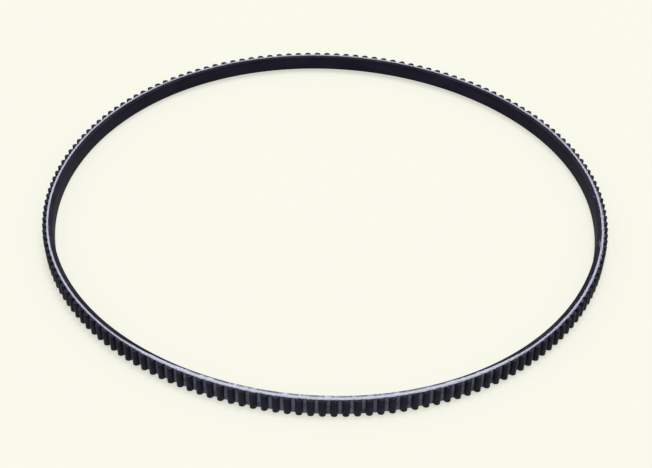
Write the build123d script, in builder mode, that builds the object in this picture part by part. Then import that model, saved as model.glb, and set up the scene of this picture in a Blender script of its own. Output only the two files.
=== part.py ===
"""Closed-loop synchronous belt, standing on one cut edge, teeth outward.

The loop is cut into short sections that hinge at the cord line, so that it can be
squeezed the way the flexible belt can.  Every section holds the belt's four layers:
rubber back, tension cords, rubber teeth and the woven facing over the teeth.
The loop's centre is the origin, Z is up and the lower cut edge lies on Z = 0.
"""
import os
from bisect import bisect_right
from math import cos, hypot, pi, sin, tan

from build123d import *

# ---- belt standard: 5 mm pitch, round-crowned teeth
TOOTH_PITCH = 5.0
TOOTH_COUNT = 174            # even, so that the two halves of the loop are alike
BELT_WIDTH = 8.0
TOOTH_HEIGHT = 2.06          # from the land between teeth to the crown
CROWN_RADIUS = 1.50
ROOT_RADIUS = 0.43           # fillet at a tooth's foot, limited by the flank
CORD_DIAMETER = 0.60
CORD_TO_LAND = 0.57          # pitch line to the land between teeth
CORD_TO_BACK = 2.40          # pitch line to the smooth back
FACING_THICKNESS = 0.15

# ---- how the free loop lies: its plan is an oval and its wall leans
OVAL_COS2 = -0.0540
OVAL_SIN2 = -0.0110
OVAL_COS4 = 0.0020
OVAL_SIN4 = 0.0040
LEAN_MEAN = 0.000            # radians, top edge outward
LEAN_SIN1 = -0.140
LEAN_COS2 = 0.090
LEAN_SIN2 = 0.003

# ---- sections that hinge at the cord line
JOINT_STATIONS = 16          # stations at even spacing round the loop
CUT_STATION = 10             # where the chain of sections is left open
STILL_PHASE = 2              # every fourth station from here keeps its bend
SECTION_GAP = 0.50           # slot between sections, so they clear when they bend

SAMPLES = 2880               # steps along the plan curve


def plan_radius(angle):
    """Radius of the cord line over its mean radius, at an angle from +X."""
    second = OVAL_COS2 * cos(2 * angle) + OVAL_SIN2 * sin(2 * angle)
    fourth = OVAL_COS4 * cos(4 * angle) + OVAL_SIN4 * sin(4 * angle)
    return 1 + second + fourth


def lean(angle):
    """Lean of the wall in radians at an angle from +X, top edge outward."""
    first = LEAN_MEAN + LEAN_SIN1 * sin(angle)
    return first + LEAN_COS2 * cos(2 * angle) + LEAN_SIN2 * sin(2 * angle)


# the plan curve starts at the front (-Y) and runs counter-clockwise
ANGLES = [2 * pi * i / SAMPLES - pi / 2 for i in range(SAMPLES + 1)]
UNIT_POINTS = [(plan_radius(a) * cos(a), plan_radius(a) * sin(a)) for a in ANGLES]
UNIT_LENGTHS = [0.0]
for first, second in zip(UNIT_POINTS, UNIT_POINTS[1:]):
    step = hypot(second[0] - first[0], second[1] - first[1])
    UNIT_LENGTHS.append(UNIT_LENGTHS[-1] + step)

LOOP_LENGTH = TOOTH_PITCH * TOOTH_COUNT
MEAN_RADIUS = LOOP_LENGTH / UNIT_LENGTHS[-1]


def angle_at(length):
    """Angle from +X of the point at a length along the cord line."""
    target = (length % LOOP_LENGTH) / MEAN_RADIUS
    index = min(bisect_right(UNIT_LENGTHS, target), SAMPLES) - 1
    share = (target - UNIT_LENGTHS[index]) / (UNIT_LENGTHS[index + 1] - UNIT_LENGTHS[index])
    return ANGLES[index] + share * 2 * pi / SAMPLES


def frame_at(length):
    """Point, unit tangent, unit outward normal and lean at a length along the cord line."""
    angle = angle_at(length)
    small = 1e-4
    x, y = (MEAN_RADIUS * plan_radius(angle) * f(angle) for f in (cos, sin))
    ahead, behind = plan_radius(angle + small), plan_radius(angle - small)
    tangent_x = ahead * cos(angle + small) - behind * cos(angle - small)
    tangent_y = ahead * sin(angle + small) - behind * sin(angle - small)
    size = hypot(tangent_x, tangent_y)
    tangent = (tangent_x / size, tangent_y / size)
    return (x, y), tangent, (tangent[1], -tangent[0]), lean(angle)


def place(length, along, out, level):
    """Point in the XY plane: along the belt and outward from the cord line.

    level is -1 for the lower cut edge and 1 for the upper one; the lean moves it.
    """
    (x, y), tangent, normal, tilt = frame_at(length)
    out = out + level * tan(tilt) * BELT_WIDTH / 2
    return (x + along * tangent[0] + out * normal[0],
            y + along * tangent[1] + out * normal[1])


def joint_tooth(station):
    """Number of the tooth that follows a joint station."""
    half_turns, rest = divmod(station, JOINT_STATIONS // 2)
    half_count = TOOTH_COUNT // 2
    return half_turns * half_count + round(half_count * rest / (JOINT_STATIONS // 2))


def smooth_edge(first, last, out, level):
    """Points of a smooth layer border, from one end of a section to the other."""
    start = (first - 0.5) * TOOTH_PITCH
    finish = (last - 0.5) * TOOTH_PITCH
    half_gap = SECTION_GAP / 2
    points = [place(start, half_gap, out, level)]
    for tooth in range(first, last):
        points.append(place(tooth * TOOTH_PITCH, 0, out, level))
    points.append(place(finish, -half_gap, out, level))
    return points


def close(inside, outside):
    """Outline from the border nearer the loop's centre and the one further out."""
    far_end = (inside[-1][-1], outside[-1][-1])
    near_end = (outside[0][0], inside[0][0])
    return inside + [far_end] + outside + [near_end]


def smooth_strip(first, last, inner, outer, level):
    """Outline of a layer between two smooth borders."""
    inside = smooth_edge(first, last, inner, level)
    outside = smooth_edge(first, last, outer, level)
    return close([inside], [outside])


def tooth_border(tooth, skin, level):
    """Fillets, flanks and crown of one tooth, in order, at a depth of skin below its surface."""
    length = tooth * TOOTH_PITCH
    straight = TOOTH_HEIGHT - CROWN_RADIUS
    fillet = min(ROOT_RADIUS, 0.8 * straight)
    foot = CROWN_RADIUS + fillet
    crown = CROWN_RADIUS - skin
    root = fillet + skin
    fillet_centre = CORD_TO_LAND + fillet
    crown_centre = CORD_TO_LAND + straight
    turn = cos(pi / 4)

    def at(along, out):
        return place(length, along, out, level)

    left = (at(-foot, fillet_centre - root),
            at(-foot + root * turn, fillet_centre - root * turn),
            at(-crown, fillet_centre))
    top = (at(-crown, crown_centre), at(0, crown_centre + crown), at(crown, crown_centre))
    right = (at(crown, fillet_centre),
             at(foot - root * turn, fillet_centre - root * turn),
             at(foot, fillet_centre - root))
    return [left, (left[2], top[0]), top, (top[2], right[0]), right]


def toothed_edge(first, last, skin, level):
    """Lines and arcs of the toothed border of a section, in order along the belt."""
    half_gap = SECTION_GAP / 2
    land = CORD_TO_LAND - skin
    here = place((first - 0.5) * TOOTH_PITCH, half_gap, land, level)
    pieces = []
    for tooth in range(first, last):
        border = tooth_border(tooth, skin, level)
        pieces.append((here, border[0][0]))
        pieces.extend(border)
        here = border[-1][-1]
    pieces.append((here, place((last - 0.5) * TOOTH_PITCH, -half_gap, land, level)))
    return pieces


def toothed_strip(first, last, inner, level):
    """Outline of the toothed rubber between the cords and the facing."""
    inside = smooth_edge(first, last, inner, level)
    outside = toothed_edge(first, last, FACING_THICKNESS, level)
    return close([inside], outside)


def facing_strip(first, last, level):
    """Outline of the facing, a thin skin that follows every tooth."""
    inside = toothed_edge(first, last, FACING_THICKNESS, level)
    outside = toothed_edge(first, last, 0, level)
    return close(inside, outside)


def loft_layer(outline, *sizes):
    """Solid between a layer's outlines on the lower and the upper cut edge."""
    with BuildPart() as layer:
        for level in (-1, 1):
            with BuildSketch(Plane.XY.offset(BELT_WIDTH * (1 + level) / 2)):
                with BuildLine():
                    for points in outline(*sizes, level):
                        if len(points) == 2:
                            Line(*points)
                        elif len(points) == 3:
                            ThreePointArc(*points)
                        else:
                            Spline(*points)
                make_face()
        loft(ruled=True)
    return layer


def bending_stations():
    """Stations where the chain of sections starts, bends and ends."""
    last = CUT_STATION + JOINT_STATIONS
    inner = [s for s in range(CUT_STATION + 1, last) if (s - STILL_PHASE) % 4]
    return [CUT_STATION] + inner + [last]


os.makedirs("parts", exist_ok=True)
CORD_RADIUS = CORD_DIAMETER / 2
stations = bending_stations()

for number, (start, finish) in enumerate(zip(stations, stations[1:]), 1):
    first_tooth = joint_tooth(start)
    last_tooth = joint_tooth(finish)
    span = (first_tooth, last_tooth)

    back = loft_layer(smooth_strip, *span, -CORD_TO_BACK, -CORD_RADIUS)
    back.part.label = f"rubber_back_{number:02d}"
    export_step(back.part, f"parts/rubber_back_{number:02d}.step")

    cords = loft_layer(smooth_strip, *span, -CORD_RADIUS, CORD_RADIUS)
    cords.part.label = f"tension_cords_{number:02d}"
    export_step(cords.part, f"parts/tension_cords_{number:02d}.step")

    teeth = loft_layer(toothed_strip, *span, CORD_RADIUS)
    teeth.part.label = f"rubber_teeth_{number:02d}"
    export_step(teeth.part, f"parts/rubber_teeth_{number:02d}.step")

    facing = loft_layer(facing_strip, *span)
    facing.part.label = f"tooth_facing_{number:02d}"
    export_step(facing.part, f"parts/tooth_facing_{number:02d}.step")
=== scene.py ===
"""Looks of a closed-loop timing belt that stands on its cut edge, teeth outward.

Every layer of the belt is one flat cell, a pitch long, that Geometry Nodes repeat and
bend round the loop.  The run between the middles of two neighbouring stiff sections is
one span; a span on a single section rides on it, and one between two is held by neither.
"""
from math import cos, pi, radians, sin
from random import Random

import bpy
import bmesh
from mathutils import Matrix, Vector


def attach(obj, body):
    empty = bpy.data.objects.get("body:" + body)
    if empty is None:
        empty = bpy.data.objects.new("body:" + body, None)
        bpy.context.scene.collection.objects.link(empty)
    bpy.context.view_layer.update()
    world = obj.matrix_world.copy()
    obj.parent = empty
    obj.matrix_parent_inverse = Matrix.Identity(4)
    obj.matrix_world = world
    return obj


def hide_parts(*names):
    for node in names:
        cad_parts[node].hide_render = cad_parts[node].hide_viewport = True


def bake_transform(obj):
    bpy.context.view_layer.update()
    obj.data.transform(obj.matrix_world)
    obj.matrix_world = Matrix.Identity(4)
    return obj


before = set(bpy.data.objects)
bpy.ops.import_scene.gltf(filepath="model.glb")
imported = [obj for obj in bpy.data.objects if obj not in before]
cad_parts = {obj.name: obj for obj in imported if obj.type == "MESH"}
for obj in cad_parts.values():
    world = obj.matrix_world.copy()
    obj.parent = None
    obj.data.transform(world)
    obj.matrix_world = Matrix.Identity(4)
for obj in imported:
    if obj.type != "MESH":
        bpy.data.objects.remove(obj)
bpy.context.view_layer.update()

bl_info = {
    "name": "Timing belt",
    "version": (1, 0, 0),
    "blender": (4, 5, 0),
    "location": "3D View > Sidebar > Timing belt",
    "description": "Builds the layers of a round-toothed belt loop and its stage",
    "category": "Object",
}

MM = 0.001

# how the free loop lies: shares of the mean radius, and the wall's lean in radians
OVAL_COS2, OVAL_SIN2 = -0.0540, -0.0110
OVAL_COS4, OVAL_SIN4 = 0.0020, 0.0040
LEAN_SIN1 = -0.140
LEAN_COS2, LEAN_SIN2 = 0.090, 0.003
GUIDE_STEPS = 2880

# joint stations stand at equal steps round the loop, from its front; the chain of stiff
# sections begins and ends at CUT_STATION, and every fourth station from STILL_PHASE is stiff
JOINT_STATIONS = 16
CUT_STATION = 10
STILL_PHASE, STILL_EVERY = 2, 4
# an inset from a span's ends, for points on the guide that nothing reads
BEND_INSET = 3 * MM

# facets of a quarter turn, the most of a straight flank that a root fillet may take, and
# the angle past which an edge stays sharp
ROOT_STEPS, CROWN_STEPS = 4, 6
FILLET_SHARE = 0.8
CREASE = radians(40)

# corners of the layers at the cut edges; the back's inner rim is rubbed round
BACK_CORNER = 0.12 * MM
CORD_CORNER = 0.02 * MM
FACING_CORNER = 0.06 * MM
BLADE_CORNER = 0.01 * MM

# marks on the surfaces: depths below a cut edge, grains of the cut a metre, the smear's
# middle out from the cords, a thread of the weave, and a cord's twist and its slant
CUT_BEGINS, CUT_FULL = 0.16 * MM, 0.05 * MM
CUT_GRAIN = 0.9 / MM
SMEAR_CENTRE = 0.25 * MM
THREAD = 0.25 * MM
TWIST, TWIST_SLANT = 1.3 * MM, 1.6

# where the key light stands from the belt, and the camera sensor's width in mm
KEY_TOWARD = (0.08, 0.2, 1.0)
SENSOR_WIDTH = 36


# ------------------------------------------------------------------ the belt's line


def plan_radius(angle):
    """Radius of the cord line over its mean radius, at an angle from +X."""
    second = OVAL_COS2 * cos(2 * angle) + OVAL_SIN2 * sin(2 * angle)
    return 1 + second + OVAL_COS4 * cos(4 * angle) + OVAL_SIN4 * sin(4 * angle)


def wall_lean(angle):
    """Lean of the wall in radians at an angle from +X, top edge outward."""
    first = LEAN_SIN1 * sin(angle)
    return first + LEAN_COS2 * cos(2 * angle) + LEAN_SIN2 * sin(2 * angle)


def guide_mesh(sizes):
    """The cord line as a chain of edges from the front, counter-clockwise, with the lean."""
    angles = [2 * pi * i / GUIDE_STEPS - pi / 2 for i in range(GUIDE_STEPS + 1)]
    unit = [Vector((cos(a), sin(a), 0)) * plan_radius(a) for a in angles]
    around = sum((b - a).length for a, b in zip(unit, unit[1:]))
    scale = sizes.tooth_pitch * sizes.tooth_count / around
    mesh = bpy.data.meshes.new("belt_guide")
    edges = [(i, i + 1) for i in range(GUIDE_STEPS)]
    mesh.from_pydata([p * scale for p in unit], edges, [])
    lean = mesh.attributes.new("lean", "FLOAT", "POINT")
    lean.data.foreach_set("value", [wall_lean(a) for a in angles])
    guide = bpy.data.objects.new("belt_guide", mesh)
    bpy.context.scene.collection.objects.link(guide)
    return guide


def point_on(guide, length):
    """Point of the guide at a length along it."""
    points = [v.co for v in guide.data.vertices]
    steps = [(b - a).length for a, b in zip(points, points[1:])]
    rest = length % sum(steps)
    index = 0
    while rest > steps[index]:
        rest -= steps[index]
        index += 1
    return points[index].lerp(points[index + 1], rest / steps[index])


def joint_tooth(station, count):
    """Number of the tooth that follows a joint station."""
    halves, rest = divmod(station, JOINT_STATIONS // 2)
    half = count // 2
    return halves * half + round(half * rest / (JOINT_STATIONS // 2))


def belt_spans(count):
    """(first tooth, last tooth, body before, body after) of each visible span."""
    last = CUT_STATION + JOINT_STATIONS
    inner = [s for s in range(CUT_STATION + 1, last) if (s - STILL_PHASE) % STILL_EVERY]
    teeth = [joint_tooth(s, count) for s in [CUT_STATION] + inner + [last]]
    middles = [(a + b) // 2 for a, b in zip(teeth, teeth[1:])]
    ends = [teeth[0]] + middles + [teeth[-1]]
    bodies = [f"section_{n:02d}" for n in range(1, len(middles) + 1)]
    return list(zip(ends, ends[1:], bodies[:1] + bodies, bodies + bodies[-1:]))


# ------------------------------------------------------------------ flat cells


def tooth_profile(sizes, skin):
    """Points of one pitch of the toothed side, from land to land, skin below the surface."""
    straight = sizes.tooth_height - sizes.crown_radius
    fillet = min(sizes.root_radius, FILLET_SHARE * straight)
    foot = sizes.crown_radius + fillet
    crown = sizes.crown_radius - skin
    root = fillet + skin
    land = sizes.cord_to_land
    root_turns = [radians(90 * i / ROOT_STEPS) for i in range(ROOT_STEPS + 1)]
    crown_turns = [radians(90 * i / CROWN_STEPS) for i in range(CROWN_STEPS + 1)]
    left = [(-sizes.tooth_pitch / 2, land - skin)]
    left += [(-foot + root * sin(t), land + fillet - root * cos(t)) for t in root_turns]
    left += [(-crown * cos(t), land + straight + crown * sin(t)) for t in crown_turns]
    right = [(-x, y) for x, y in reversed(left[:-1])]
    return left + right


def even_line(sizes, out, steps):
    """Points of one pitch of a smooth border, out from the cord line."""
    half = sizes.tooth_pitch / 2
    return [(-half + sizes.tooth_pitch * i / steps, out) for i in range(steps + 1)]


def layer_cell(name, inside, outside, sizes, rows, edges):
    """Mesh of one pitch of a layer laid flat: X along, Y outward, Z up the width.

    inside and outside are its two borders, and edges the radii of their cut corners.
    """
    width = sizes.belt_width
    inner_edge, outer_edge = edges
    turns = [radians(45), radians(90)]
    verts, along = [], []
    travelled = 0.0
    before = Vector(outside[0])
    for low, high in zip(inside, outside):
        low, high = Vector(low), Vector(high)
        travelled += (high - before).length
        before = high
        way = (high - low).normalized()
        thick = (high - low).length
        over = [(thick - outer_edge * (1 - cos(t)), width - outer_edge * (1 - sin(t)))
                for t in turns]
        over += [(inner_edge * (1 - cos(t)), width - inner_edge * (1 - sin(t)))
                 for t in reversed(turns)]
        under = [(out, width - z) for out, z in reversed(over)]
        climb = [(thick, outer_edge + (width - 2 * outer_edge) * i / rows)
                 for i in range(rows + 1)]
        drop = [(0, width - inner_edge - (width - 2 * inner_edge) * i / rows)
                for i in range(rows + 1)]
        ring = climb + over + drop + under
        for out, z in ring:
            spot = low + way * out
            verts.append((spot.x, spot.y, z))
            along.append(travelled)
    size = len(ring)
    faces = []
    for column in range(len(inside) - 1):
        for j in range(size):
            a = column * size + j
            b = column * size + (j + 1) % size
            faces.append((a, a + size, b + size, b))
    mesh = bpy.data.meshes.new(name)
    mesh.from_pydata(verts, [], faces)
    weave = mesh.attributes.new("belt_along", "FLOAT", "POINT")
    weave.data.foreach_set("value", [a / travelled for a in along])
    return mesh


def strand_mesh(name, strands, sides=4):
    """Mesh of closed strands, each a list of (point, radius); bending mirrors its faces."""
    verts, faces = [], []
    for strand in strands:
        start = len(verts)
        for point, radius in strand:
            for k in range(sides):
                turn = 2 * pi * k / sides
                verts.append(Vector(point) + Vector((0, cos(turn), sin(turn))) * radius)
        for i in range(len(strand) - 1):
            for k in range(sides):
                a, b = start + i * sides + k, start + i * sides + (k + 1) % sides
                faces.append((a, a + sides, b + sides, b))
        end = start + (len(strand) - 1) * sides
        faces.append(tuple(range(start, start + sides)))
        faces.append(tuple(reversed(range(end, end + sides))))
    mesh = bpy.data.meshes.new(name)
    mesh.from_pydata(verts, [], faces)
    return mesh


def fibre_cell(name):
    """Mesh of one broken filament, of length and thickness 1, slightly bowed, along X."""
    shares = [0.0, 0.1, 0.4, 0.7, 0.92, 1.0]
    bow, tip, belly = 0.9, 0.08, 0.42
    strand = [((s - 0.5, bow * sin(pi * s), 0), tip + belly * sin(pi * s) ** 0.5)
              for s in shares]
    return strand_mesh(name, [strand])


def tuft_cell(name, sizes):
    """Mesh of the frayed tuft: thin strands that leave the cut cord and curl inward.

    They are rooted 0.1 mm below the cut edge and thin out toward their tips.
    """
    chance = Random(11)
    rings = 8
    strands = []
    for _ in range(sizes.tuft_strands):
        along = chance.uniform(-1.6, 0.6) * MM
        across = chance.uniform(-0.5, 0.2) * MM
        reach = chance.uniform(0.35, 1.0) * sizes.tuft_reach
        climb = chance.uniform(0.10, 0.55) * reach
        inward = chance.uniform(0.1, 0.6) * reach
        curl = chance.uniform(-0.35, 0.35) * MM
        strand = []
        for i in range(rings):
            s = i / (rings - 1)
            strand.append(((along + reach * (s - 0.25 * s * s),
                            across - inward * s * s + curl * sin(2 * pi * s),
                            sizes.belt_width - 0.1 * MM + climb * s ** 1.3),
                           sizes.fibre_thickness * (0.75 - 0.45 * s)))
        strands.append(strand)
    return strand_mesh(name, strands)


# ------------------------------------------------------------------ node trees

MATH, VECTOR = "ShaderNodeMath", "ShaderNodeVectorMath"
SPLIT, JOIN = "ShaderNodeSeparateXYZ", "ShaderNodeCombineXYZ"
MIX, NOISE, STEP = "ShaderNodeMix", "ShaderNodeTexNoise", "ShaderNodeMapRange"
MARK, BUMP = "ShaderNodeAttribute", "ShaderNodeBump"
STORE, MOVE = "GeometryNodeStoreNamedAttribute", "GeometryNodeSetPosition"


def add_node(tree, kind, links=None, **settings):
    """Adds a node with its settings, and gives its inputs values, sockets or nodes.

    A node stands for its own first live output.
    """
    node = tree.nodes.new(kind)
    for key, value in settings.items():
        setattr(node, key, value)
    for key, value in (links or {}).items():
        if isinstance(value, bpy.types.Node):
            value = next(socket for socket in value.outputs if socket.enabled)
        if isinstance(value, bpy.types.NodeSocket):
            tree.links.new(value, node.inputs[key])
        else:
            node.inputs[key].default_value = value
    return node


def new_tree(name, inputs):
    """Geometry tree with the named inputs; returns it and its input sockets."""
    tree = bpy.data.node_groups.new(name, "GeometryNodeTree")
    tree.interface.new_socket("Geometry", in_out="OUTPUT", socket_type="NodeSocketGeometry")
    for label, kind in {"Geometry": "Geometry", **inputs}.items():
        tree.interface.new_socket(label, in_out="INPUT", socket_type="NodeSocket" + kind)
    return tree, add_node(tree, "NodeGroupInput").outputs


def bend_tree():
    """Tree that bends flat belt geometry round the guide and leans it."""
    tree, given = new_tree("bend_round_loop", {"Guide": "Object", "Belt width": "Float"})
    spot = add_node(tree, "GeometryNodeInputPosition")
    flat = add_node(tree, STORE, {"Geometry": given["Geometry"], "Name": "belt_flat",
                                  "Value": spot}, data_type="FLOAT_VECTOR", domain="POINT")
    held = add_node(tree, "GeometryNodeObjectInfo", {"Object": given["Guide"]})
    chain = add_node(tree, "GeometryNodeMeshToCurve", {"Mesh": held.outputs["Geometry"]})
    around = add_node(tree, "GeometryNodeCurveLength", {"Curve": chain})
    place = add_node(tree, SPLIT, {0: spot})
    travelled = add_node(tree, MATH, {0: place.outputs["X"], 1: around, 2: 0.0},
                         operation="WRAP")
    lean = add_node(tree, "GeometryNodeInputNamedAttribute", {"Name": "lean"},
                    data_type="FLOAT")
    sample = add_node(tree, "GeometryNodeSampleCurve", {
        "Curves": chain, "Value": lean, "Length": travelled},
        mode="LENGTH", data_type="FLOAT")
    square = add_node(tree, VECTOR, {0: sample.outputs["Tangent"], 1: (0, 0, 1)},
                      operation="CROSS_PRODUCT")
    outward = add_node(tree, VECTOR, {0: square}, operation="NORMALIZE")
    above = add_node(tree, MATH, {0: given["Belt width"], 1: -0.5, 2: place.outputs["Z"]},
                     operation="MULTIPLY_ADD")
    tilt = add_node(tree, MATH, {0: sample.outputs["Value"]}, operation="TANGENT")
    reach = add_node(tree, MATH, {0: above, 1: tilt, 2: place.outputs["Y"]},
                     operation="MULTIPLY_ADD")
    out = add_node(tree, VECTOR, {0: outward, "Scale": reach}, operation="SCALE")
    level = add_node(tree, JOIN, {"Z": place.outputs["Z"]})
    plan = add_node(tree, VECTOR, {0: sample.outputs["Position"], 1: out}, operation="ADD")
    final = add_node(tree, VECTOR, {0: plan, 1: level}, operation="ADD")
    bent = add_node(tree, MOVE, {"Geometry": flat, "Position": final})
    add_node(tree, "NodeGroupOutput", {0: bent})
    return tree


def span_tree(bend):
    """Tree that repeats a layer's cell from tooth to tooth and bends it round the loop."""
    tree, given = new_tree("belt_span", {
        "Guide": "Object", "First tooth": "Int", "Last tooth": "Int",
        "Tooth pitch": "Float", "Belt width": "Float", "Cut roughness": "Float",
        "Material": "Material"})
    count = add_node(tree, MATH, {0: given["Last tooth"], 1: given["First tooth"]},
                     operation="SUBTRACT")
    begin = add_node(tree, MATH, {0: given["First tooth"], 1: given["Tooth pitch"]},
                     operation="MULTIPLY")
    start = add_node(tree, JOIN, {"X": begin})
    step = add_node(tree, JOIN, {"X": given["Tooth pitch"]})
    row = add_node(tree, "GeometryNodeMeshLine", {
        "Count": count, "Start Location": start, "Offset": step})
    teeth = add_node(tree, "GeometryNodeInstanceOnPoints", {
        "Points": row, "Instance": given["Geometry"]})
    real = add_node(tree, "GeometryNodeRealizeInstances", {0: teeth})
    joined = add_node(tree, "GeometryNodeMergeByDistance", {0: real, "Distance": 0.001 * MM})
    # the blade leaves both cut edges a little uneven, in marks about 1.1 mm long (real
    # ones are finer), always inside the full width
    spot = add_node(tree, "GeometryNodeInputPosition")
    place = add_node(tree, SPLIT, {0: spot})
    middle = add_node(tree, MATH, {0: given["Belt width"], 1: 0.5}, operation="MULTIPLY")
    above = add_node(tree, MATH, {0: place.outputs["Z"], 1: middle}, operation="SUBTRACT")
    level = add_node(tree, MATH, {0: above, 1: middle}, operation="DIVIDE")
    height = add_node(tree, MATH, {0: level}, operation="ABSOLUTE")
    near = add_node(tree, MATH, {0: height, 1: 0.95}, operation="GREATER_THAN")
    side = add_node(tree, MATH, {0: level}, operation="SIGN")
    grain = add_node(tree, NOISE, {"Vector": spot, "Scale": CUT_GRAIN, "Detail": 3.0})
    deep = add_node(tree, MATH, {0: grain, 1: given["Cut roughness"]}, operation="MULTIPLY")
    here = add_node(tree, MATH, {0: deep, 1: near}, operation="MULTIPLY")
    signed = add_node(tree, MATH, {0: here, 1: side}, operation="MULTIPLY")
    inward = add_node(tree, MATH, {0: signed, 1: -1.0}, operation="MULTIPLY")
    shift = add_node(tree, JOIN, {"Z": inward})
    uneven = add_node(tree, MOVE, {"Geometry": joined, "Offset": shift})
    bent = add_node(tree, "GeometryNodeGroup", {
        "Geometry": uneven, "Guide": given["Guide"], "Belt width": given["Belt width"]},
        node_tree=bend)
    angle = add_node(tree, "GeometryNodeInputMeshEdgeAngle")
    sharp = add_node(tree, MATH, {0: angle, 1: CREASE}, operation="GREATER_THAN")
    soft = add_node(tree, "GeometryNodeSetShadeSmooth", {0: bent, "Shade Smooth": True},
                    domain="FACE")
    creased = add_node(tree, "GeometryNodeSetShadeSmooth", {
        0: soft, "Selection": sharp, "Shade Smooth": False}, domain="EDGE")
    painted = add_node(tree, "GeometryNodeSetMaterial", {
        0: creased, "Material": given["Material"]})
    add_node(tree, "NodeGroupOutput", {0: painted})
    return tree


def fibre_tree(bend):
    """Tree that strews broken filaments of the cords along the upper cut edge."""
    tree, given = new_tree("cut_edge_fibres", {
        "Guide": "Object", "First tooth": "Int", "Last tooth": "Int",
        "Tooth pitch": "Float", "Belt width": "Float", "Fibres per tooth": "Float",
        "Fibre length": "Float", "Fibre thickness": "Float", "Band": "Float",
        "Band centre": "Float", "Swing": "Float", "Lift": "Float", "Wear": "Float",
        "Seed": "Int", "Material": "Material"})
    teeth = add_node(tree, MATH, {0: given["Last tooth"], 1: given["First tooth"]},
                     operation="SUBTRACT")
    count = add_node(tree, MATH, {0: teeth, 1: given["Fibres per tooth"]},
                     operation="MULTIPLY")
    first = add_node(tree, MATH, {0: given["First tooth"], 1: 0.5}, operation="SUBTRACT")
    begin = add_node(tree, MATH, {0: first, 1: given["Tooth pitch"]}, operation="MULTIPLY")
    gap = add_node(tree, MATH, {0: given["Tooth pitch"], 1: given["Fibres per tooth"]},
                   operation="DIVIDE")
    start = add_node(tree, JOIN, {"X": begin})
    step = add_node(tree, JOIN, {"X": gap})
    row = add_node(tree, "GeometryNodeMeshLine", {
        "Count": count, "Start Location": start, "Offset": step})
    # each draw below has seeds of its own, 100 apart, so spans may count up between them
    ranges = {"near": (-0.5, 0.5), "far": (-0.5, 0.5), "lift": (0.0, 1.0),
              "along": (-1.0, 1.0), "swing": (-1.0, 1.0), "length": (0.35, 1.3),
              "thickness": (0.6, 1.3), "tone": (0.0, 1.0)}
    chance = {}
    for salt, (label, (low, high)) in enumerate(ranges.items()):
        seed = add_node(tree, MATH, {0: given["Seed"], 1: 100.0 * salt}, operation="ADD")
        chance[label] = add_node(tree, "FunctionNodeRandomValue", {
            2: low, 3: high, "Seed": seed}, data_type="FLOAT")
    # two draws added leave more fibres near the middle of the band
    both = add_node(tree, MATH, {0: chance["near"], 1: chance["far"]}, operation="ADD")
    spread = add_node(tree, MATH, {0: both, 1: given["Band"]}, operation="MULTIPLY")
    # the loop's right-hand side, a quarter turn on from the front, is frayed most
    spot = add_node(tree, "GeometryNodeInputPosition")
    place = add_node(tree, SPLIT, {0: spot})
    held = add_node(tree, "GeometryNodeObjectInfo", {"Object": given["Guide"]})
    chain = add_node(tree, "GeometryNodeMeshToCurve", {"Mesh": held.outputs["Geometry"]})
    around = add_node(tree, "GeometryNodeCurveLength", {"Curve": chain})
    turn = add_node(tree, MATH, {0: place.outputs["X"], 1: around}, operation="DIVIDE")
    angle = add_node(tree, MATH, {0: turn, 1: 2 * pi}, operation="MULTIPLY")
    side = add_node(tree, MATH, {0: angle}, operation="SINE")
    right = add_node(tree, MATH, {0: side, 1: 0.0}, operation="MAXIMUM")
    wear_and_painted_sheen = add_node(tree, MATH, {0: right, 1: given["Wear"], 2: 1.0},
                    operation="MULTIPLY_ADD")
    across = add_node(tree, MATH, {0: spread, 1: wear_and_painted_sheen, 2: given["Band centre"]},
                      operation="MULTIPLY_ADD")
    up = add_node(tree, MATH, {0: chance["lift"], 1: given["Lift"], 2: given["Belt width"]},
                  operation="MULTIPLY_ADD")
    along = add_node(tree, MATH, {0: chance["along"], 1: given["Fibre length"]},
                     operation="MULTIPLY")
    offset = add_node(tree, JOIN, {"X": along, "Y": across, "Z": up})
    strewn = add_node(tree, MOVE, {"Geometry": row, "Offset": offset})
    swing = add_node(tree, MATH, {0: chance["swing"], 1: given["Swing"]},
                     operation="MULTIPLY")
    # a filament that swings out also rises a little
    rise = add_node(tree, MATH, {0: swing, 1: 0.15}, operation="MULTIPLY")
    euler = add_node(tree, JOIN, {"Y": rise, "Z": swing})
    turned = add_node(tree, "FunctionNodeEulerToRotation", {0: euler})
    length = add_node(tree, MATH, {0: chance["length"], 1: given["Fibre length"]},
                      operation="MULTIPLY")
    thick = add_node(tree, MATH, {0: chance["thickness"], 1: given["Fibre thickness"]},
                     operation="MULTIPLY")
    thicker = add_node(tree, MATH, {0: thick, 1: wear_and_painted_sheen}, operation="MULTIPLY")
    size = add_node(tree, JOIN, {"X": length, "Y": thicker, "Z": thick})
    fibres = add_node(tree, "GeometryNodeInstanceOnPoints", {
        "Points": strewn, "Instance": given["Geometry"], "Rotation": turned, "Scale": size})
    toned = add_node(tree, STORE, {"Geometry": fibres, "Name": "fibre_tone",
                                   "Value": chance["tone"]},
                     data_type="FLOAT", domain="INSTANCE")
    real = add_node(tree, "GeometryNodeRealizeInstances", {0: toned})
    bent = add_node(tree, "GeometryNodeGroup", {
        "Geometry": real, "Guide": given["Guide"], "Belt width": given["Belt width"]},
        node_tree=bend)
    soft = add_node(tree, "GeometryNodeSetShadeSmooth", {0: bent, "Shade Smooth": True},
                    domain="FACE")
    painted = add_node(tree, "GeometryNodeSetMaterial", {
        0: soft, "Material": given["Material"]})
    add_node(tree, "NodeGroupOutput", {0: painted})
    return tree


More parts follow.
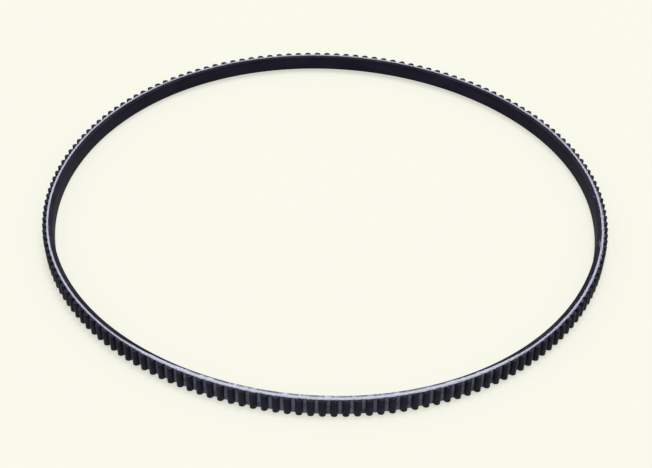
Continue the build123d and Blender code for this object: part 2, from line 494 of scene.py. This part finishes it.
def run_tree(name, cell, tree, values):
    """Plain object that the tree makes of a cell mesh with the given input values."""
    maker = bpy.data.objects.new(name + "_maker", cell)
    bpy.context.scene.collection.objects.link(maker)
    modifier = maker.modifiers.new("belt", "NODES")
    modifier.node_group = tree
    for item in tree.interface.items_tree:
        if item.in_out == "INPUT" and item.name in values:
            modifier[item.identifier] = values[item.name]
    depsgraph = bpy.context.evaluated_depsgraph_get()
    mesh = bpy.data.meshes.new_from_object(
        maker.evaluated_get(depsgraph), preserve_all_data_layers=True, depsgraph=depsgraph)
    mesh.name = name
    bpy.data.objects.remove(maker)
    piece = bpy.data.objects.new(name, mesh)
    bpy.context.scene.collection.objects.link(piece)
    return piece


def close_ends(piece):
    """Closes the open ends of a span and turns every face outward."""
    sheet = bmesh.new()
    sheet.from_mesh(piece.data)
    rim = [edge for edge in sheet.edges if edge.is_boundary]
    caps = bmesh.ops.holes_fill(sheet, edges=rim, sides=0)["faces"]
    if len(caps) != 2:
        raise RuntimeError(f"{piece.name}: {len(caps)} ends were closed, not 2")
    bmesh.ops.triangulate(sheet, faces=caps)
    bmesh.ops.recalc_face_normals(sheet, faces=sheet.faces)
    sheet.to_mesh(piece.data)
    sheet.free()


# ------------------------------------------------------------------ materials


def to_linear(code):
    """Linear RGBA of an sRGB hex colour such as 'FAFAEE'."""
    shares = [int(code[i:i + 2], 16) / 255 for i in (0, 2, 4)]
    return (*[s / 12.92 if s <= 0.04045 else ((s + 0.055) / 1.055) ** 2.4
              for s in shares], 1.0)


def new_material(name, **constants):
    """Material with one shader, whose constant sockets are set directly."""
    material = bpy.data.materials.new(name)
    material.use_nodes = True
    tree = material.node_tree
    shader = next(n for n in tree.nodes if n.type == "BSDF_PRINCIPLED")
    for label, value in constants.items():
        shader.inputs[label.replace("_", " ")].default_value = value
    return material, tree, shader


def per_metre(along, out, up):
    """Repeats a metre of a pattern whose marks are so many mm along, out of and up the
    belt.  A size of 0 leaves the pattern even that way."""
    return tuple(1 / (size * MM) if size else 0.0 for size in (along, out, up))


def cut_smear(tree, sizes, flat, place):
    """Shares of the pale glass band and of cut face, at a place on the unbent belt."""
    half = sizes.belt_width / 2
    above = add_node(tree, MATH, {0: place.outputs["Z"], 1: half}, operation="SUBTRACT")
    height = add_node(tree, MATH, {0: above}, operation="ABSOLUTE")
    cut = add_node(tree, STEP, {0: height, 1: half - CUT_BEGINS, 2: half - CUT_FULL})
    # the pale band sits a little outward of the cords, and at the loop's front it is painted
    # wider, over the whole back
    turns = 2 * pi / (sizes.tooth_pitch * sizes.tooth_count)
    angle = add_node(tree, MATH, {0: place.outputs["X"], 1: turns}, operation="MULTIPLY")
    facing = add_node(tree, MATH, {0: angle}, operation="COSINE")
    front = add_node(tree, STEP, {0: facing, 1: 0.72, 2: 0.97})
    reach = add_node(tree, MATH, {0: front, 1: sizes.front_pale_reach, 2: sizes.smear_width},
                     operation="MULTIPLY_ADD")
    centre = add_node(tree, MATH, {0: front, 1: -sizes.front_pale_reach, 2: SMEAR_CENTRE},
                      operation="MULTIPLY_ADD")
    # its torn edge: real tears are a few tenths of a mm, drawn 2.4 mm long so they show
    tear_place = add_node(tree, VECTOR, {0: flat, 1: per_metre(2.381, 0.6667, 0)},
                          operation="MULTIPLY")
    torn = add_node(tree, NOISE, {"Vector": tear_place, "Scale": 1.0, "Detail": 5.0,
                                  "Roughness": 0.65})
    ragged = add_node(tree, MATH, {0: torn, 1: 1.5, 2: 0.25}, operation="MULTIPLY_ADD")
    limit = add_node(tree, MATH, {0: reach, 1: ragged}, operation="MULTIPLY")
    beside = add_node(tree, MATH, {0: place.outputs["Y"], 1: centre}, operation="SUBTRACT")
    away = add_node(tree, MATH, {0: beside}, operation="ABSOLUTE")
    inside = add_node(tree, MATH, {0: limit, 1: away}, operation="SUBTRACT")
    near = add_node(tree, STEP, {0: inside, 1: -0.14 * MM, 2: 0.12 * MM})
    return add_node(tree, MATH, {0: near, 1: cut}, operation="MULTIPLY"), cut


def ground_neoprene(sizes):
    """Neoprene, cured and ground to thickness; its cut edge is duller and paler.

    The eye sees a nearly black band with a faint blue cast, a soft broad sheen and fine
    lines up it from the grinding.
    """
    material, tree, shader = new_material(
        "ground_neoprene", IOR=1.52, Specular_IOR_Level=sizes.rubber_gloss)
    flat = add_node(tree, MARK, attribute_name="belt_flat").outputs["Vector"]
    place = add_node(tree, SPLIT, {0: flat})
    smear, cut = cut_smear(tree, sizes, flat, place)
    # the tone drifts over 17 mm along the belt and 6 mm up it
    cloud_place = add_node(tree, VECTOR, {0: flat, 1: per_metre(16.667, 16.667, 6.25)},
                           operation="MULTIPLY")
    cloud = add_node(tree, NOISE, {"Vector": cloud_place, "Scale": 1.0, "Detail": 3.0,
                                   "Roughness": 0.55})
    tone = add_node(tree, STEP, {0: cloud, 1: 0.3, 2: 0.7})
    face = add_node(tree, MIX, {0: tone, 6: sizes.rubber_dark, 7: sizes.rubber_pale},
                    data_type="RGBA")
    edge = add_node(tree, MIX, {0: tone, 6: sizes.cut_dark, 7: sizes.cut_pale},
                    data_type="RGBA")
    ground = add_node(tree, MIX, {0: cut, 6: face, 7: edge}, data_type="RGBA")
    # bare rubber shows as dashes along the inner rim of the cut, about 2.6 mm long
    dash_place = add_node(tree, VECTOR, {0: flat, 1: per_metre(2.6316, 3.8462, 0)},
                          operation="MULTIPLY")
    dashes = add_node(tree, NOISE, {"Vector": dash_place, "Scale": 1.0, "Detail": 2.0,
                                    "Roughness": 0.55})
    bare = add_node(tree, STEP, {0: dashes, 1: 0.36, 2: 0.52})
    rim = add_node(tree, STEP, {0: place.outputs["Y"], 1: -0.8 * MM, 2: -1.5 * MM})
    dash = add_node(tree, MATH, {0: bare, 1: rim}, operation="MULTIPLY")
    kept = add_node(tree, MATH, {0: dash, 1: -0.75, 2: 1.0}, operation="MULTIPLY_ADD")
    glass = add_node(tree, MATH, {0: smear, 1: kept}, operation="MULTIPLY")
    colour = add_node(tree, MIX, {0: glass, 6: ground, 7: sizes.glass_colour},
                      data_type="RGBA")
    # grinding lines run up the belt; real ones are 0.1 mm apart, drawn 0.25 mm apart
    line_place = add_node(tree, VECTOR, {0: flat, 1: per_metre(0.25, 1.6667, 3.8462)},
                          operation="MULTIPLY")
    lines = add_node(tree, NOISE, {"Vector": line_place, "Scale": 1.0, "Detail": 3.0,
                                   "Roughness": 0.6})
    # grit of 0.05 mm, drawn three times as coarse
    grit = add_node(tree, NOISE, {"Vector": flat, "Scale": 1 / (0.15385 * MM),
                                  "Detail": 2.0, "Roughness": 0.5})
    height = add_node(tree, MATH, {0: grit, 1: 0.5, 2: lines}, operation="MULTIPLY_ADD")
    bump = add_node(tree, BUMP, {"Height": height, "Strength": 0.35,
                                 "Distance": 0.04 * MM})
    rough = add_node(tree, MATH, {0: cloud, 1: 0.2, 2: 0.5}, operation="MULTIPLY_ADD")
    tree.links.new(colour.outputs[2], shader.inputs["Base Color"])
    tree.links.new(rough.outputs[0], shader.inputs["Roughness"])
    tree.links.new(bump.outputs[0], shader.inputs["Normal"])
    return material


def moulded_neoprene(sizes):
    """Neoprene moulded into the teeth, which shows only where the blade cut it.

    The eye sees a dull charcoal face with pale glass dragged over it near the cords.
    """
    material, tree, shader = new_material(
        "moulded_neoprene", IOR=1.52, Roughness=0.75, Specular_IOR_Level=sizes.rubber_gloss)
    flat = add_node(tree, MARK, attribute_name="belt_flat").outputs["Vector"]
    place = add_node(tree, SPLIT, {0: flat})
    smear, _ = cut_smear(tree, sizes, flat, place)
    # blotches of 0.5 mm where the blade pulled, drawn 1.4 mm wide so they show
    cloud = add_node(tree, NOISE, {"Vector": flat, "Scale": 1 / (1.42857 * MM),
                                   "Detail": 4.0, "Roughness": 0.55})
    tone = add_node(tree, STEP, {0: cloud, 1: 0.3, 2: 0.75})
    ground = add_node(tree, MIX, {0: tone, 6: sizes.tooth_dark, 7: sizes.tooth_pale},
                      data_type="RGBA")
    colour = add_node(tree, MIX, {0: smear, 6: ground, 7: sizes.glass_colour},
                      data_type="RGBA")
    bump = add_node(tree, BUMP, {"Height": cloud, "Strength": 0.5, "Distance": 0.06 * MM})
    tree.links.new(colour.outputs[2], shader.inputs["Base Color"])
    tree.links.new(bump.outputs[0], shader.inputs["Normal"])
    return material


def woven_nylon(sizes):
    """Woven nylon, soaked in rubber and pressed over the teeth in the mould.

    The crowns are pressed smooth and dark; in the lands the weave shows, with a painted
    reflection of the pale floor that makes them paler and bluer.
    """
    material, tree, shader = new_material(
        "woven_nylon_facing", IOR=1.53, Specular_IOR_Level=sizes.facing_gloss,
        Sheen_Weight=0.02, Sheen_Roughness=0.5)
    flat = add_node(tree, MARK, attribute_name="belt_flat").outputs["Vector"]
    place = add_node(tree, SPLIT, {0: flat})
    along = add_node(tree, MARK, attribute_name="belt_along").outputs["Fac"]
    land = sizes.cord_to_land
    low = add_node(tree, STEP, {0: place.outputs["Y"], 1: land + 0.3 * MM,
                                2: land + 0.02 * MM}, interpolation_type="SMOOTHSTEP")
    # the painted reflection covers only the middle of a land; toward the fillets the land
    # keeps the darker crown tone
    turn = add_node(tree, MATH, {0: place.outputs["X"], 1: 2 * pi / sizes.tooth_pitch},
                    operation="MULTIPLY")
    wave = add_node(tree, MATH, {0: turn}, operation="COSINE")
    middle = add_node(tree, STEP, {0: wave, 1: -0.25, 2: -0.85})
    wear_and_painted_sheen = add_node(tree, MATH, {0: low, 1: middle}, operation="MULTIPLY")
    # the soaked-in rubber makes clouds about 3 mm across
    cloud = add_node(tree, NOISE, {"Vector": flat, "Scale": 1 / (3.0303 * MM),
                                   "Detail": 4.0, "Roughness": 0.55})
    tone = add_node(tree, STEP, {0: cloud, 1: 0.3, 2: 0.7})
    crown = add_node(tree, MIX, {0: tone, 6: sizes.crown_dark, 7: sizes.crown_pale},
                     data_type="RGBA")
    # the lands' two tones are a painted reflection of the pale floor, lighter than the
    # crowns
    root = add_node(tree, MIX, {0: tone, 6: sizes.land_sheen_dark, 7: sizes.land_sheen_pale},
                    data_type="RGBA")
    colour = add_node(tree, MIX, {0: wear_and_painted_sheen, 6: crown, 7: root}, data_type="RGBA")
    # threads go one over and one under, and a whole number of pairs fits in a pitch
    pairs = round((sizes.tooth_pitch + sizes.tooth_height) / (2 * THREAD))
    warp_angle = add_node(tree, MATH, {0: along, 1: 2 * pi * pairs}, operation="MULTIPLY")
    weft_angle = add_node(tree, MATH, {0: place.outputs["Z"], 1: pi / THREAD},
                          operation="MULTIPLY")
    warp = add_node(tree, MATH, {0: warp_angle}, operation="SINE")
    weft = add_node(tree, MATH, {0: weft_angle}, operation="SINE")
    weave = add_node(tree, MATH, {0: warp, 1: weft}, operation="MULTIPLY")
    height = add_node(tree, MATH, {0: weave, 1: 0.5, 2: cloud}, operation="MULTIPLY_ADD")
    bump = add_node(tree, BUMP, {"Height": height, "Strength": 0.4, "Distance": 0.05 * MM})
    rough = add_node(tree, MATH, {0: low, 1: 0.15, 2: 0.5}, operation="MULTIPLY_ADD")
    tree.links.new(colour.outputs[2], shader.inputs["Base Color"])
    tree.links.new(rough.outputs[0], shader.inputs["Roughness"])
    tree.links.new(bump.outputs[0], shader.inputs["Normal"])
    return material


def twisted_glass(sizes):
    """Twisted glass cords, dipped and wound side by side, and cut through by the blade.

    The eye sees a pale lavender line, broken by the dark dip between the twists.
    """
    material, tree, shader = new_material(
        "twisted_glass_cord", IOR=1.52, Roughness=0.55, Specular_IOR_Level=0.4)
    flat = add_node(tree, MARK, attribute_name="belt_flat").outputs["Vector"]
    place = add_node(tree, SPLIT, {0: flat})
    slant = add_node(tree, MATH, {0: place.outputs["Y"], 1: TWIST_SLANT,
                                  2: place.outputs["X"]}, operation="MULTIPLY_ADD")
    turns = add_node(tree, MATH, {0: slant, 1: 2 * pi / TWIST}, operation="MULTIPLY")
    twist = add_node(tree, MATH, {0: turns}, operation="SINE")
    # filaments of 0.01 mm, drawn as bundles 0.2 mm apart and 1.1 mm long so they show
    strand_place = add_node(tree, VECTOR, {0: flat, 1: per_metre(1.1111, 0.2, 1.1111)},
                            operation="MULTIPLY")
    fine = add_node(tree, NOISE, {"Vector": strand_place, "Scale": 1.0, "Detail": 5.0,
                                  "Roughness": 0.7})
    mixed = add_node(tree, MATH, {0: twist, 1: 0.12, 2: fine}, operation="MULTIPLY_ADD")
    share = add_node(tree, STEP, {0: mixed, 1: 0.26, 2: 0.48})
    colour = add_node(tree, MIX, {0: share, 6: sizes.cord_dip, 7: sizes.glass_colour},
                      data_type="RGBA")
    bump = add_node(tree, BUMP, {"Height": mixed, "Strength": 0.8, "Distance": 0.1 * MM})
    tree.links.new(colour.outputs[2], shader.inputs["Base Color"])
    tree.links.new(bump.outputs[0], shader.inputs["Normal"])
    return material


def loose_glass(sizes):
    """Glass filaments, drawn and then broken: the eye sees pale, bright hairs."""
    material, tree, shader = new_material(
        "loose_glass_fibre", IOR=1.5, Roughness=0.4, Specular_IOR_Level=0.5)
    tone = add_node(tree, MARK, attribute_name="fibre_tone").outputs["Fac"]
    colour = add_node(tree, MIX, {0: tone, 6: sizes.glass_shade, 7: sizes.glass_bright},
                      data_type="RGBA")
    tree.links.new(colour.outputs[2], shader.inputs["Base Color"])
    return material


def opal_acrylic(sizes):
    """Opal acrylic, cast and sanded matt, with light behind it.

    The eye sees an even ivory ground on which shadows stay pale.
    """
    material, tree, shader = new_material(
        "opal_acrylic_floor", Roughness=0.9, Specular_IOR_Level=0.0,
        Emission_Color=sizes.floor_glow, Emission_Strength=sizes.floor_light)
    place = add_node(tree, "ShaderNodeTexCoord").outputs["Object"]
    # the cast sheet clouds over about a third of a metre
    cloud = add_node(tree, NOISE, {"Vector": place, "Scale": 1 / (333.333 * MM),
                                   "Detail": 2.0, "Roughness": 0.55})
    colour = add_node(tree, MIX, {0: cloud, 6: sizes.floor_pale, 7: sizes.floor_shade},
                      data_type="RGBA")
    tree.links.new(colour.outputs[2], shader.inputs["Base Color"])
    return material


# ------------------------------------------------------------------ sizes and colours


def length_of(name, words, millimetres):
    """A length that a user can change, in metres."""
    return bpy.props.FloatProperty(name=name, description=words, default=millimetres * MM,
                                   unit="LENGTH", precision=5)


def colour_of(name, words, code):
    """A colour that a user can change, from its sRGB hex value."""
    return bpy.props.FloatVectorProperty(name=name, description=words, size=4,
                                         default=to_linear(code), subtype="COLOR",
                                         min=0.0, max=1.0)


def amount_of(name, words, amount):
    """A plain number that a user can change."""
    return bpy.props.FloatProperty(name=name, description=words, default=amount, min=0.0)


class BeltSizes(bpy.types.PropertyGroup):
    tooth_pitch: length_of("Tooth pitch", "Distance from tooth to tooth", 5.0)
    tooth_count: bpy.props.IntProperty(
        name="Teeth", description="Number of teeth round the loop", default=174)
    belt_width: length_of("Belt width", "From cut edge to cut edge", 8.0)
    tooth_height: length_of("Tooth height", "From land to crown", 2.06)
    crown_radius: length_of("Crown radius", "Radius of a tooth's crown", 1.5)
    root_radius: length_of("Root radius", "Fillet at a tooth's foot", 0.43)
    cord_diameter: length_of("Cord diameter", "Thickness of the cord layer", 0.6)
    cord_to_land: length_of("Cord to land", "Cord's middle to the land", 0.57)
    cord_to_back: length_of("Cord to back", "Cord's middle to the smooth back", 2.4)
    facing: length_of("Facing", "Thickness of the woven facing", 0.15)
    cut_roughness: length_of("Cut roughness", "Depth of the marks the blade left", 0.05)
    smear_width: length_of("Smear", "Reach of the glass dragged over the cut", 0.3)
    # extra width of the pale band, painted at the loop's front only
    front_pale_reach: length_of("Front smear", "Added reach at the loop's front", 1.1)
    fibre_thickness: length_of("Fibre thickness", "A bundle of loose filaments", 0.07)
    tuft_reach: length_of("Tuft reach", "Length of the frayed tuft", 5.0)
    tuft_strands: bpy.props.IntProperty(
        name="Tuft strands", description="Strands in the frayed tuft", default=16)
    tuft_tooth: bpy.props.IntProperty(
        name="Tuft tooth", description="Tooth that the tuft leaves from", default=38)
    rubber_gloss: amount_of("Rubber gloss", "Specular level of the rubber", 0.03)
    facing_gloss: amount_of("Facing gloss", "Specular level of the facing", 0.08)
    rubber_dark: colour_of("Rubber, dark", "Darkest tone of the back", "1A1826")
    rubber_pale: colour_of("Rubber, pale", "Palest tone of the back", "252334")
    cut_dark: colour_of("Cut rubber, dark", "Darkest tone of the cut edge", "201F2B")
    cut_pale: colour_of("Cut rubber, pale", "Palest tone of the cut edge", "32313F")
    tooth_dark: colour_of("Cut tooth, dark", "Darkest tone of a tooth's cut end", "22232E")
    tooth_pale: colour_of("Cut tooth, pale", "Palest tone of a tooth's cut end", "404251")
    crown_dark: colour_of("Crown, dark", "Darkest tone of the crowns", "181726")
    crown_pale: colour_of("Crown, pale", "Palest tone of the crowns", "242332")
    # the lands' two tones are a painted reflection of the pale floor
    land_sheen_dark: colour_of("Land, dark", "Darkest tone of the lands", "484B63")
    land_sheen_pale: colour_of("Land, pale", "Palest tone of the lands", "7C819C")
    cord_dip: colour_of("Cord dip", "Dark dip between the twists", "7C7E96")
    glass_colour: colour_of("Glass", "Cut glass fibre", "D6D9EC")
    glass_shade: colour_of("Glass, shaded", "Darkest loose filament", "B9BDD4")
    glass_bright: colour_of("Glass, bright", "Brightest loose filament", "ECEDF8")
    floor_pale: colour_of("Floor", "Light that the floor scatters", "AAAAA1")
    floor_shade: colour_of("Floor, greyer", "Where it scatters a little less", "A8A89F")
    floor_glow: colour_of("Floor glow", "Colour of the light that comes up through it",
                          "FBFBEF")
    floor_light: amount_of("Floor light", "Strength of that light", 0.58)


class BeltStage(bpy.types.PropertyGroup):
    camera_distance: length_of("Camera distance", "From the point looked at", 1159.5)
    camera_rise: bpy.props.FloatProperty(
        name="Camera rise", description="Angle of the view above the floor",
        default=radians(34.33), subtype="ANGLE")
    camera_roll: bpy.props.FloatProperty(
        name="Camera roll", description="Turn of the camera about its view",
        default=-0.012, subtype="ANGLE")
    camera_lens: amount_of("Lens", "Focal length in mm for a 36 mm sensor", 135.07)
    look_right: length_of("Look at, right", "Point looked at, along X", 0.6)
    look_back: length_of("Look at, back", "Point looked at, along Y", -9.6)
    key_strength: amount_of("Key strength", "Strength of the soft key light", 1.9)
    key_spread: bpy.props.FloatProperty(
        name="Key spread", description="Apparent size of the key light",
        default=radians(32), subtype="ANGLE")
    fill_strength: amount_of("Fill strength", "Strength of the light all round", 0.4)
    floor_reach: length_of("Floor reach", "Half the floor's side", 3000.0)


# ------------------------------------------------------------------ operators


def guide_and_trees(sizes):
    """The guide and the two trees, made once and shared by the operators."""
    guide = bpy.data.objects.get("belt_guide") or guide_mesh(sizes)
    groups = bpy.data.node_groups
    bend = groups.get("bend_round_loop") or bend_tree()
    span = groups.get("belt_span") or span_tree(bend)
    return guide, span, groups.get("cut_edge_fibres") or fibre_tree(bend)


def hold(piece, guide, sizes, span):
    """A piece rides on its section; one between two sections is held by neither."""
    first, last, before, after = span
    if before == after:
        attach(piece, before)
    else:
        for tooth, inward in ((first, BEND_INSET), (last, -BEND_INSET)):
            spot = point_on(guide, (tooth - 0.5) * sizes.tooth_pitch + inward)
        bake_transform(piece)


def build_layer(layer, borders, rows, edges, material):
    """Every span of one layer, each riding on its section where it lies on one, and standing
    for the CAD's nodes.
    """
    sizes = bpy.context.scene.belt_sizes
    guide, tree, _ = guide_and_trees(sizes)
    cell = layer_cell(layer + "_cell", *borders, sizes, rows, edges)
    spans = belt_spans(sizes.tooth_count)
    for number, span in enumerate(spans, 1):
        piece = run_tree(f"{layer}_span_{number:02d}", cell, tree, {
            "Guide": guide, "First tooth": span[0], "Last tooth": span[1],
            "Tooth pitch": sizes.tooth_pitch, "Belt width": sizes.belt_width,
            "Cut roughness": sizes.cut_roughness, "Material": material})
        close_ends(piece)
        hold(piece, guide, sizes, span)
        if number < len(spans):
            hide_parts(f"{layer}_{number:02d}")


class BELT_OT_rubber_back(bpy.types.Operator):
    """Builds the smooth rubber back on the inside of the loop"""
    bl_idname = "belt.rubber_back"
    bl_label = "Rubber back"

    def execute(self, context):
        sizes = context.scene.belt_sizes
        borders = (even_line(sizes, -sizes.cord_to_back, 6),
                   even_line(sizes, -sizes.cord_diameter / 2, 6))
        build_layer("rubber_back", borders, 3, (BACK_CORNER, BLADE_CORNER),
                    ground_neoprene(sizes))
        return {"FINISHED"}


class BELT_OT_tension_cords(bpy.types.Operator):
    """Builds the layer of glass cords between the back and the teeth"""
    bl_idname = "belt.tension_cords"
    bl_label = "Tension cords"

    def execute(self, context):
        sizes = context.scene.belt_sizes
        borders = (even_line(sizes, -sizes.cord_diameter / 2, 8),
                   even_line(sizes, sizes.cord_diameter / 2, 8))
        build_layer("tension_cords", borders, 2, (CORD_CORNER, CORD_CORNER),
                    twisted_glass(sizes))
        return {"FINISHED"}


class BELT_OT_rubber_teeth(bpy.types.Operator):
    """Builds the toothed rubber under the facing"""
    bl_idname = "belt.rubber_teeth"
    bl_label = "Rubber teeth"

    def execute(self, context):
        sizes = context.scene.belt_sizes
        outside = tooth_profile(sizes, sizes.facing)
        inside = even_line(sizes, sizes.cord_diameter / 2, len(outside) - 1)
        build_layer("rubber_teeth", (inside, outside), 2, (BLADE_CORNER, BLADE_CORNER),
                    moulded_neoprene(sizes))
        return {"FINISHED"}


class BELT_OT_tooth_facing(bpy.types.Operator):
    """Builds the woven facing that follows every tooth"""
    bl_idname = "belt.tooth_facing"
    bl_label = "Tooth facing"

    def execute(self, context):
        sizes = context.scene.belt_sizes
        borders = (tooth_profile(sizes, sizes.facing), tooth_profile(sizes, 0))
        build_layer("tooth_facing", borders, 2, (BLADE_CORNER, FACING_CORNER),
                    woven_nylon(sizes))
        return {"FINISHED"}


class BELT_OT_cut_fibres(bpy.types.Operator):
    """Strews broken cord filaments along the upper cut edge, and adds the frayed tuft"""
    bl_idname = "belt.cut_fibres"
    bl_label = "Cut fibres"

    def execute(self, context):
        sizes = context.scene.belt_sizes
        guide, belt, strewn = guide_and_trees(sizes)
        cell = fibre_cell("fibre_cell")
        material = loose_glass(sizes)
        common = {"Guide": guide, "Tooth pitch": sizes.tooth_pitch,
                  "Belt width": sizes.belt_width, "Material": material,
                  "Fibre thickness": sizes.fibre_thickness}
        # most filaments lie along the cords, and a few stray across the cut
        kinds = {
            "laid_fibres": {"Fibres per tooth": 20.0, "Fibre length": 2.2 * MM,
                            "Band": 0.5 * MM, "Band centre": 0.2 * MM,
                            "Swing": radians(9), "Lift": 0.02 * MM, "Wear": 0.8},
            "stray_fibres": {"Fibres per tooth": 1.6, "Fibre length": 1.5 * MM,
                             "Band": 0.9 * MM, "Band centre": -0.1 * MM,
                             "Swing": radians(70), "Lift": 0.12 * MM, "Wear": 0.8},
        }
        for kind, facts in kinds.items():
            for number, span in enumerate(belt_spans(sizes.tooth_count), 1):
                piece = run_tree(f"{kind}_{number:02d}", cell, strewn, {
                    **common, **facts, "First tooth": span[0], "Last tooth": span[1],
                    "Seed": number})
                hold(piece, guide, sizes, span)
        tooth = sizes.tuft_tooth
        if tooth < belt_spans(sizes.tooth_count)[0][0]:
            tooth += sizes.tooth_count
        span = next(s for s in belt_spans(sizes.tooth_count) if s[0] <= tooth < s[1])
        tuft = run_tree("frayed_tuft", tuft_cell("tuft_cell", sizes), belt, {
            **common, "First tooth": tooth, "Last tooth": tooth + 1, "Cut roughness": 0.0})
        hold(tuft, guide, sizes, span)
        return {"FINISHED"}


class BELT_OT_stage(bpy.types.Operator):
    """Makes the floor, the lights and the camera"""
    bl_idname = "belt.stage"
    bl_label = "Stage"

    def execute(self, context):
        scene = context.scene
        stage = scene.belt_stage
        reach = stage.floor_reach
        corners = [(-reach, -reach, 0), (reach, -reach, 0),
                   (reach, reach, 0), (-reach, reach, 0)]
        mesh = bpy.data.meshes.new("floor")
        mesh.from_pydata(corners, [], [(0, 1, 2, 3)])
        mesh.materials.append(opal_acrylic(scene.belt_sizes))
        floor = bpy.data.objects.new("floor", mesh)
        scene.collection.objects.link(floor)

        key = bpy.data.lights.new("soft_key", "SUN")
        key.energy = stage.key_strength
        key.angle = stage.key_spread
        lamp = bpy.data.objects.new("soft_key", key)
        lamp.rotation_euler = Vector(KEY_TOWARD).to_track_quat("Z", "Y").to_euler()
        scene.collection.objects.link(lamp)

        world = bpy.data.worlds.new("pale_room")
        world.use_nodes = True
        room = next(n for n in world.node_tree.nodes if n.type == "BACKGROUND")
        room.inputs["Color"].default_value = to_linear("FEFEFB")
        room.inputs["Strength"].default_value = stage.fill_strength
        scene.world = world
        scene.view_settings.view_transform = "Standard"

        lens = bpy.data.cameras.new("camera")
        lens.sensor_width = SENSOR_WIDTH
        lens.lens = stage.camera_lens
        lens.clip_start, lens.clip_end = 0.01, 20
        target = Vector((stage.look_right, stage.look_back, 0))
        rise, roll = stage.camera_rise, stage.camera_roll
        toward = Vector((0, -cos(rise), sin(rise)))
        right, up = Vector((1, 0, 0)), Vector((0, sin(rise), cos(rise)))
        rolled = (right * cos(roll) - up * sin(roll), right * sin(roll) + up * cos(roll))
        axes = Matrix((*rolled, toward)).transposed().to_4x4()
        camera = bpy.data.objects.new("camera", lens)
        spot = Matrix.Translation(target + toward * stage.camera_distance)
        camera.matrix_world = spot @ axes
        scene.collection.objects.link(camera)
        scene.camera = camera
        return {"FINISHED"}


STEPS = (BELT_OT_rubber_back, BELT_OT_tension_cords, BELT_OT_rubber_teeth,
         BELT_OT_tooth_facing, BELT_OT_cut_fibres, BELT_OT_stage)


class BELT_PT_panel(bpy.types.Panel):
    bl_label = "Timing belt"
    bl_idname = "BELT_PT_panel"
    bl_space_type = "VIEW_3D"
    bl_region_type = "UI"
    bl_category = "Timing belt"

    def draw(self, context):
        for step in STEPS:
            self.layout.operator(step.bl_idname)
        for group in (context.scene.belt_sizes, context.scene.belt_stage):
            column = self.layout.column()
            for key in type(group).__annotations__:
                column.prop(group, key)


CLASSES = (BeltSizes, BeltStage, *STEPS, BELT_PT_panel)


def register():
    for cls in CLASSES:
        bpy.utils.register_class(cls)
    bpy.types.Scene.belt_sizes = bpy.props.PointerProperty(type=BeltSizes)
    bpy.types.Scene.belt_stage = bpy.props.PointerProperty(type=BeltStage)


def unregister():
    del bpy.types.Scene.belt_stage
    del bpy.types.Scene.belt_sizes
    for cls in reversed(CLASSES):
        bpy.utils.unregister_class(cls)


def main():
    register()
    bpy.ops.belt.rubber_back()
    bpy.ops.belt.tension_cords()
    bpy.ops.belt.rubber_teeth()
    bpy.ops.belt.tooth_facing()
    bpy.ops.belt.cut_fibres()
    bpy.data.objects.remove(bpy.data.objects["belt_guide"])
    bpy.ops.belt.stage()


if __name__ == "__main__":
    main()
